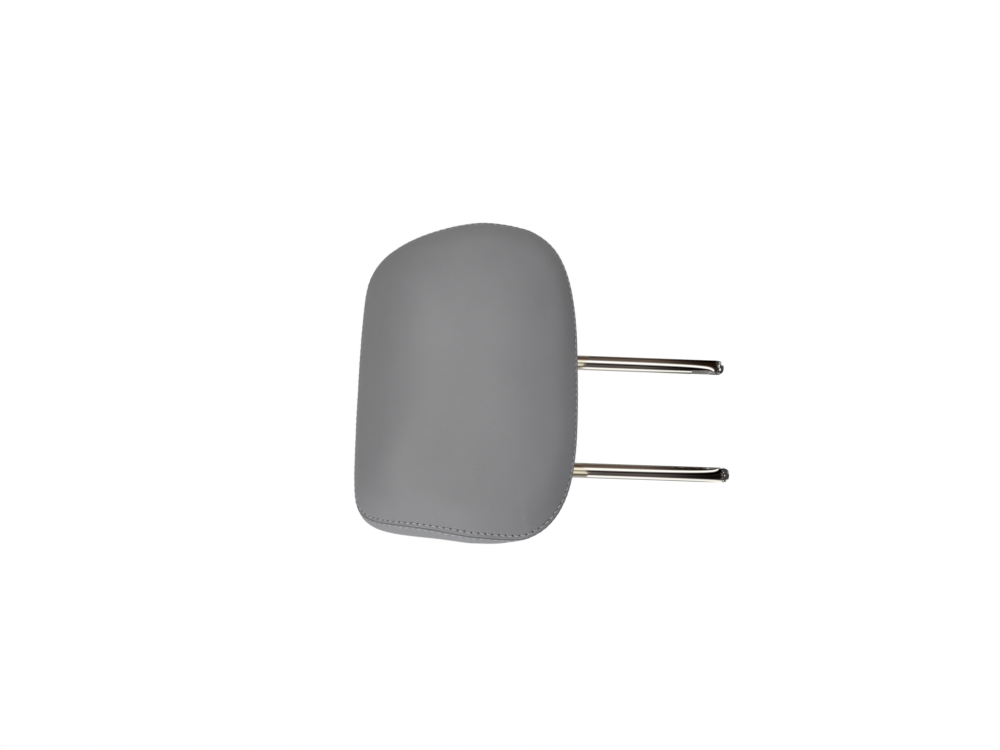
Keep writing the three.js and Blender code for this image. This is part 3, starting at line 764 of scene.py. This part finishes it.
def buildPosts():
    p = postTube
    stations = tubeStations()
    turn = np.arange(p["sides"]) / p["sides"] * 2 * math.pi
    aside = Vector((1, 0, 0))
    rings = []
    for i, station in enumerate(stations):
        ahead = stations[min(i + 1, len(stations) - 1)] - stations[max(i - 1, 0)]
        ahead.normalize()
        aside = (aside - ahead * aside.dot(ahead)).normalized()
        over = aside.cross(ahead)
        rings.append(np.array([station + (aside * math.cos(t) + over * math.sin(t)) * p["diameter"] / 2
                               for t in turn]))
        if i == 0:
            firstFrame = (aside.copy(), over.copy())
    lastFrame = (aside.copy(), over.copy())
    noses = []
    for x, (a, b) in ((p["spacing"] / 2, firstFrame), (-p["spacing"] / 2, lastFrame)):
        noses.append([np.array([Vector((x, 0, -p["reach"] + drop)) + (a * math.cos(t) + b * math.sin(t)) * r
                                for t in turn]) for r, drop in noseProfile()])
    allRings = noses[0] + rings + noses[1][::-1]
    poles = [[x, 0, -p["reach"] + p["dimpleDepth"]] for x in (p["spacing"] / 2, -p["spacing"] / 2)]
    points = np.concatenate([poles[:1], *allRings, poles[1:]])
    posts = newPiece("chrome_posts", points, closedFaces([p["sides"]] * len(allRings)), chrome)

    # Latch notch with a ramp at its upper end, in the right post, facing the other post
    floor = p["spacing"] / 2 - p["diameter"] / 2 + p["notchDepth"]
    low = -p["reach"] + p["notchFromTip"]
    depth = p["diameter"]
    high, rampHigh = low + p["notchLength"], low + p["notchLength"] + 0.6
    outline = [(floor - depth, low), (floor, low), (floor, high), (floor - p["notchRamp"], rampHigh),
               (floor - depth, rampHigh)]
    corners = [(x, y, z) for y in (-depth, depth) for x, z in outline]
    cutAway(posts, prism("notch_cutter", corners, chrome), 32)
    return posts


posts = buildPosts()
print("chrome posts", len(posts.data.polygons), "faces")


# Underside: collars round the posts and the closure slit
underside = BVHTree.FromPolygons([v.co.copy() for v in coverBack.data.vertices],
                                 [tuple(f.vertices) for f in coverBack.data.polygons])


def undersideAt(x, y):
    hit, normal, _, _ = underside.ray_cast(Vector((x, y, -50)) * mm, Vector((0, 0, 1)))
    return hit.z / mm, normal


collarShape = {
    "bore": 13.3, "barrel": 17, "barrelLength": 9, "flange": 25, "thickness": 2, "gap": 0.3, "sides": 72,
}


def buildCollar(name, x):
    c = collarShape
    seat = undersideAt(x, 0)[0]
    bore, barrel, flange, t, gap = c["bore"] / 2, c["barrel"] / 2, c["flange"] / 2, c["thickness"], c["gap"]
    # radius, and height from the leather (follows it) or from the seat (level)
    profile = [
        (bore, c["barrelLength"], False), (bore, -t + 0.2, True), (bore + 0.5, -t - gap, True),
        (flange - 2.4, -t - gap, True), (flange - 0.9, -t - gap + 0.35, True),
        (flange - 0.2, -t - gap + 1.0, True),
        (flange, -gap - 0.3, True), (flange - 0.2, -gap, True), (barrel + 0.2, -gap, True),
        (barrel, -gap + 0.4, True), (barrel, c["barrelLength"] - 0.8, False),
        (barrel - 0.5, c["barrelLength"], False),
    ]
    points = []
    for radius, height, follows in profile:
        for k in range(c["sides"]):
            turn = 2 * math.pi * k / c["sides"]
            px, py = x + radius * math.cos(turn), radius * math.sin(turn)
            level = undersideAt(px, py)[0] if follows else seat
            points.append((px, py, level + height))
    n, count = c["sides"], len(profile)
    faces = [face for i in range(count) for face in bridgeRings(i * n, n, (i + 1) % count * n, n)]
    collar = newPiece(name, points, faces, collarPlastic)
    makeOutward(collar)
    collar.data.set_sharp_from_angle(angle=math.radians(50))
    return collar


collarPlastic = blackPolypropylene("mouldedPolypropylene", plasticLook["width"])
stripPlastic = blackPolypropylene("extrudedPolypropylene", 18)
halfSpacing = postTube["spacing"] / 2
collars = [buildCollar("collar_left", -halfSpacing), buildCollar("collar_right", halfSpacing)]

closureSlit = {"depth": -26, "halfLength": 80, "width": 1.2, "rowOffset": 4.5}
cutRange, holeSides = (-25, 22), 64   # heights that the cutters span, and the facets of a hole


def lipRow(name, y, away):
    # A row of stitches that holds one lip of the slit to its plastic strip
    reach = closureSlit["halfLength"] - 3
    count = int(2 * reach / seamSewing["pitch"]) * seamSewing["perStitch"] + 1
    line, up = [], []
    for x in np.linspace(-reach, reach, count):
        z, normal = undersideAt(x, y)
        line.append((x, y, z))
        up.append(tuple(-normal if normal.z > 0 else normal))
    return threadRow(name, np.array(line), np.array(up), np.array([(0.0, away, 0.0)] * count))


lipFront = lipRow("closure_stitch_front", closureSlit["depth"] - closureSlit["rowOffset"], -1)
lipRear = lipRow("closure_stitch_rear", closureSlit["depth"] + closureSlit["rowOffset"], 1)


def cutUnderside(outline):
    corners = [(x, y, z) for z in cutRange for x, y in outline]
    cutAway(coverBack, prism("underside_cutter", corners, leather), 40)


holeRadius = collarShape["barrel"] / 2 + collarShape["gap"]
for x in (-halfSpacing, halfSpacing):
    turn = np.arange(holeSides) / holeSides * 2 * math.pi
    cutUnderside([(x + holeRadius * math.cos(t), holeRadius * math.sin(t)) for t in turn])
slitX = closureSlit["halfLength"]
lowY, highY = [closureSlit["depth"] + side * closureSlit["width"] / 2 for side in (-1, 1)]
cutUnderside([(-slitX, lowY), (slitX, lowY), (slitX, highY), (-slitX, highY)])
print("underside cut", len(coverBack.data.polygons), "faces")


# Pieces ride on the frame and stand for their CAD nodes
def stand(piece, slot, *nodes):
    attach(piece, "root")
    if nodes:
        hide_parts(*nodes)


stand(coverFront, "leather", "cover_front")
stand(coverBack, "leather", "cover_back")
stand(posts, "chrome_tube", "post_frame")
stand(collars[0], "black_plastic", "post_collar_left")
stand(collars[1], "black_plastic", "post_collar_right")
for row in (threadFront, threadBack, lipFront, lipRear):
    stand(row, None)

nodeFinish = {
    "cross_plate": pressedSteel(),
    "foam_core": mouldedFoam(),
    "closure_strip_front": stripPlastic,
    "closure_strip_rear": stripPlastic,
}
for name, material in nodeFinish.items():
    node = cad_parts[name]
    node.data.materials.clear()
    node.data.materials.append(material)

# Camera, from the outline, the seam and the posts in the photograph
cameraSetup = {"azimuth": 23.49, "elevation": 2.71, "roll": 2.11, "distance": 1252.5, "focal": 1466.5,
               "centreX": 575.0, "centreY": 415.5, "originHeight": 12}


def towards(aside, up):
    # Direction by degrees round from the front towards the right post, and degrees up
    aside, up = math.radians(aside), math.radians(up)
    return Vector((math.sin(aside) * math.cos(up), -math.cos(aside) * math.cos(up), math.sin(up)))


def placeCamera():
    c = cameraSetup
    roll = math.radians(c["roll"])
    back = towards(-c["azimuth"], c["elevation"])
    right = Vector((0, 0, -1))
    right = (right - back * right.dot(back)).normalized()   # the photograph lies on its side
    up = back.cross(right)
    turnedRight = right * math.cos(roll) + up * math.sin(roll)
    turnedUp = up * math.cos(roll) - right * math.sin(roll)
    perPixel = c["distance"] / c["focal"]
    place = (turnedRight * -(c["centreX"] - 500) * perPixel + turnedUp * (c["centreY"] - 375) * perPixel
             + back * c["distance"] - Vector((0, 0, c["originHeight"])))
    camera = bpy.data.objects.new("camera", bpy.data.cameras.new("camera"))
    camera.data.lens = c["focal"] / 1000 * 36
    camera.data.sensor_width = 36
    camera.data.clip_start = 0.01
    axes = (turnedRight, turnedUp, back, place * mm)
    camera.matrix_world = Matrix([[axis[k] for axis in axes] for k in range(3)] + [[0, 0, 0, 1]])
    bpy.context.scene.collection.objects.link(camera)
    bpy.context.scene.camera = camera


placeCamera()

# Painted reflections that only glossy rays see round the posts: bands of a white studio with a few dark and
# beige things in it, as degrees round the vertical axis from the camera's side, towards the right post
paintedReflectionBands = {
    "far": [(-180, "#b9b9b9"), (-122, "#8e8e8a"), (-112, "#d8d8d6"), (-100, "#fbfbfa"), (-76, "#f2f2ef"),
            (-66, "#5f5a58"), (-42, "#463f3f"), (-26, "#5e5955"), (-14, "#14100c"), (-3, "#1c1714"),
            (8, "#8c8886"), (16, "#ffffff"), (36, "#ffffff"), (48, "#867f76"), (66, "#54483f"),
            (86, "#64554d"), (104, "#342823"), (122, "#4c423b"), (142, "#7c776f"), (180, "#b9b9b9")],
    "near": [(-180, "#b9b9b9"), (-118, "#a7a5a0"), (-98, "#8e8980"), (-76, "#6e675a"), (-56, "#4c3f30"),
             (-40, "#e0d7c5"), (-22, "#dcd4c2"), (-8, "#928775"), (4, "#9a927d"), (16, "#f2eee0"),
             (30, "#f7f3e5"), (42, "#a69686"), (60, "#4e3d30"), (84, "#52453a"), (108, "#5f554b"),
             (130, "#7e7c75"), (180, "#b9b9b9")],
}


def surroundRamp(tree, place, stops):
    # Colour by the angle of a place, or of a world direction, round the vertical axis
    parts = [addNode(tree, "ShaderNodeVectorMath", {
        0: place, 1: towards(aside - cameraSetup["azimuth"], 0)}, operation="DOT_PRODUCT")
             for aside in (90, 0)]
    angle = addNode(tree, "ShaderNodeMath", {
        0: parts[0].outputs["Value"], 1: parts[1].outputs["Value"]}, operation="ARCTAN2")
    share = addNode(tree, "ShaderNodeMapRange", {
        "Value": angle.outputs[0], "From Min": -math.pi, "From Max": math.pi})
    ramp = addNode(tree, "ShaderNodeValToRGB", {"Fac": share.outputs["Result"]})
    bands = ramp.color_ramp.elements
    while len(bands) < len(stops):
        bands.new(0.5)
    for band, (degrees, _) in zip(bands, stops):
        band.position = (degrees + 180) / 360
    for band, (_, colour) in zip(bands, stops):
        band.color = toLinear(colour)
    return ramp.outputs["Color"]


studioLight = {
    "sky": ("#dfe2e6", 0.06),       # colour and strength of the light from all round
    "mirror": 1.4,                  # strength of what polished metal sees
    "aim": (0, -0.05, 0.07), "far": 1.8, "size": 0.7,
    "lamps": [  # degrees round from the front towards the right post, degrees up, watts, colour, gloss
        (-122, 10, 8.3, "#f6f8ff", True), (-105, 10, 5.2, "#f6f8ff", True), (-56, 10, 7.6, "#ffffff", True),
        (24, 10, 10.0, "#ffffff", True), (42, 10, 5.0, "#ffffff", True), (-110, 42, 2.6, "#f6f8ff", True),
        (-70, 42, 4.0, "#ffffff", True), (-30, 42, 5.8, "#ffffff", True), (160, 12, 6.0, "#ffffff", False),
    ],
}


def buildWorld():
    world = bpy.data.worlds.new("studio")
    bpy.context.scene.world = world
    world.use_nodes = True
    tree = world.node_tree
    tree.nodes.clear()
    ray = addNode(tree, "ShaderNodeLightPath")
    # Painted reflections: bands that only glossy rays see
    seen = surroundRamp(tree, addNode(tree, "ShaderNodeTexCoord").outputs["Generated"], paintedReflectionBands["near"])
    colour, strength = studioLight["sky"]
    sky = addNode(tree, "ShaderNodeBackground", {"Color": toLinear(colour), "Strength": strength})
    mirror = addNode(tree, "ShaderNodeBackground", {"Color": seen, "Strength": studioLight["mirror"]})
    paper = addNode(tree, "ShaderNodeBackground", {"Color": toLinear("#ffffff"), "Strength": 1.0})
    first = addNode(tree, "ShaderNodeMixShader", {
        0: ray.outputs["Is Glossy Ray"], 1: sky.outputs[0], 2: mirror.outputs[0]})
    both = addNode(tree, "ShaderNodeMixShader", {
        0: ray.outputs["Is Camera Ray"], 1: first.outputs[0], 2: paper.outputs[0]})
    addNode(tree, "ShaderNodeOutputWorld", {"Surface": both.outputs[0]})


# Painted shade and painted glints in the floor's reflection near the posts
underPosts = {  # how far from the posts the deeper tone and the glints end, and the size of a glint, in mm
    "shadeSpan": (80, 500), "glints": (10, 45), "glintSize": 10}


def nearPosts(tree, place, span):
    # 1 right under either post, 0 further off than the span
    parts = addNode(tree, "ShaderNodeSeparateXYZ", {0: place})
    side = addNode(tree, "ShaderNodeMath", {0: parts.outputs["X"]}, operation="ABSOLUTE")
    aside = addNode(tree, "ShaderNodeMath", {
        0: side.outputs[0], 1: postTube["spacing"] / 2 * mm}, operation="SUBTRACT")
    off = addNode(tree, "ShaderNodeCombineXYZ", {"X": aside.outputs[0], "Y": parts.outputs["Y"]})
    far = addNode(tree, "ShaderNodeVectorMath", {0: off.outputs[0]}, operation="LENGTH")
    return addNode(tree, "ShaderNodeMapRange", {
        "Value": far.outputs["Value"], "From Min": span[0] * mm, "From Max": span[1] * mm,
        "To Min": 1.0, "To Max": 0.0}, interpolation_type="SMOOTHSTEP").outputs["Result"]


def paintedFloorReflection(tree, place):
    # Painted reflection of the floor for polished metal: the same bands round it as in the world, with
    # painted shade that deepens the tone close to the posts, and small painted glints right under their
    # round ends
    seen = surroundRamp(tree, place, paintedReflectionBands["far"])
    shadeTone = addNode(tree, "ShaderNodeVectorMath", {0: seen, 1: seen}, operation="MULTIPLY")
    shadedNearPosts = addNode(tree, "ShaderNodeMix", {
        0: nearPosts(tree, place, underPosts["shadeSpan"]), 6: seen, 7: shadeTone.outputs[0]}, data_type="RGBA")
    cells = addNode(tree, "ShaderNodeTexVoronoi", {
        "Vector": place, "Scale": 1 / (underPosts["glintSize"] * mm), "Randomness": 0.8})
    glints = addNode(tree, "ShaderNodeMapRange", {
        "Value": cells.outputs["Distance"], "From Min": 0.28, "From Max": 0.46,
        "To Min": 0.9, "To Max": 0.05})
    return addNode(tree, "ShaderNodeMix", {
        0: nearPosts(tree, place, underPosts["glints"]), 6: shadedNearPosts.outputs[2],
        7: glints.outputs["Result"]}, data_type="RGBA").outputs[2]


paperLook = {"light": "#efefee", "dark": "#e9e9e8", "fibreSize": 3, "whiteShare": 0.82, "white": 1.14}


def paperFloor():
    # Matt white paper. The camera sees it nearly white with a faint shadow
    look = paperLook
    material, tree, place = newMaterial("mattPaper")
    ray = addNode(tree, "ShaderNodeLightPath")
    fibre = addNode(tree, "ShaderNodeTexNoise", {
        "Vector": place, "Scale": 1 / (look["fibreSize"] * mm), "Detail": 2.0})
    tone = addNode(tree, "ShaderNodeMix", {
        0: fibre.outputs["Fac"], 6: toLinear(look["dark"]), 7: toLinear(look["light"])}, data_type="RGBA")
    matt = addNode(tree, "ShaderNodeBsdfDiffuse", {"Color": tone.outputs[2], "Roughness": 0.6})
    white = addNode(tree, "ShaderNodeEmission", {"Color": toLinear("#ffffff"), "Strength": look["white"]})
    # Painted reflection for glossy rays, with painted shade and painted glints near the posts
    mirror = addNode(tree, "ShaderNodeEmission", {
        "Color": paintedFloorReflection(tree, place), "Strength": studioLight["mirror"]})
    share = addNode(tree, "ShaderNodeMath", {
        0: ray.outputs["Is Camera Ray"], 1: look["whiteShare"]}, operation="MULTIPLY")
    first = addNode(tree, "ShaderNodeMixShader", {
        0: share.outputs[0], 1: matt.outputs[0], 2: white.outputs[0]})
    both = addNode(tree, "ShaderNodeMixShader", {
        0: ray.outputs["Is Glossy Ray"], 1: first.outputs[0], 2: mirror.outputs[0]})
    showSurface(tree, both)
    return material


floorSize = {"radius": 1150, "gap": 0.2, "sides": 96}


def buildFloor():
    radius, sides = floorSize["radius"], floorSize["sides"]
    turn = np.arange(sides) / sides * 2 * math.pi
    level = -postTube["reach"] - floorSize["gap"]
    points = [(radius * math.cos(t), radius * math.sin(t), level) for t in turn]
    floor = newPiece("floor", points, [tuple(range(sides))], paperFloor())


def buildLamps():
    aim = Vector(studioLight["aim"])
    for i, (aside, up, watts, colour, gloss) in enumerate(studioLight["lamps"]):
        lamp = bpy.data.lights.new(f"softbox{i}", "AREA")
        lamp.shape = "SQUARE"
        lamp.size = studioLight["size"]
        lamp.energy = watts
        lamp.color = toLinear(colour)[:3]
        holder = bpy.data.objects.new(f"softbox{i}", lamp)
        outward = towards(aside, up)
        holder.location = aim + outward * studioLight["far"]
        holder.rotation_euler = (-outward).to_track_quat("-Z", "Y").to_euler()
        holder.visible_glossy = gloss
        bpy.context.scene.collection.objects.link(holder)


buildWorld()
buildFloor()
buildLamps()
bpy.context.scene.view_settings.view_transform = "Standard"
print("studio ready")
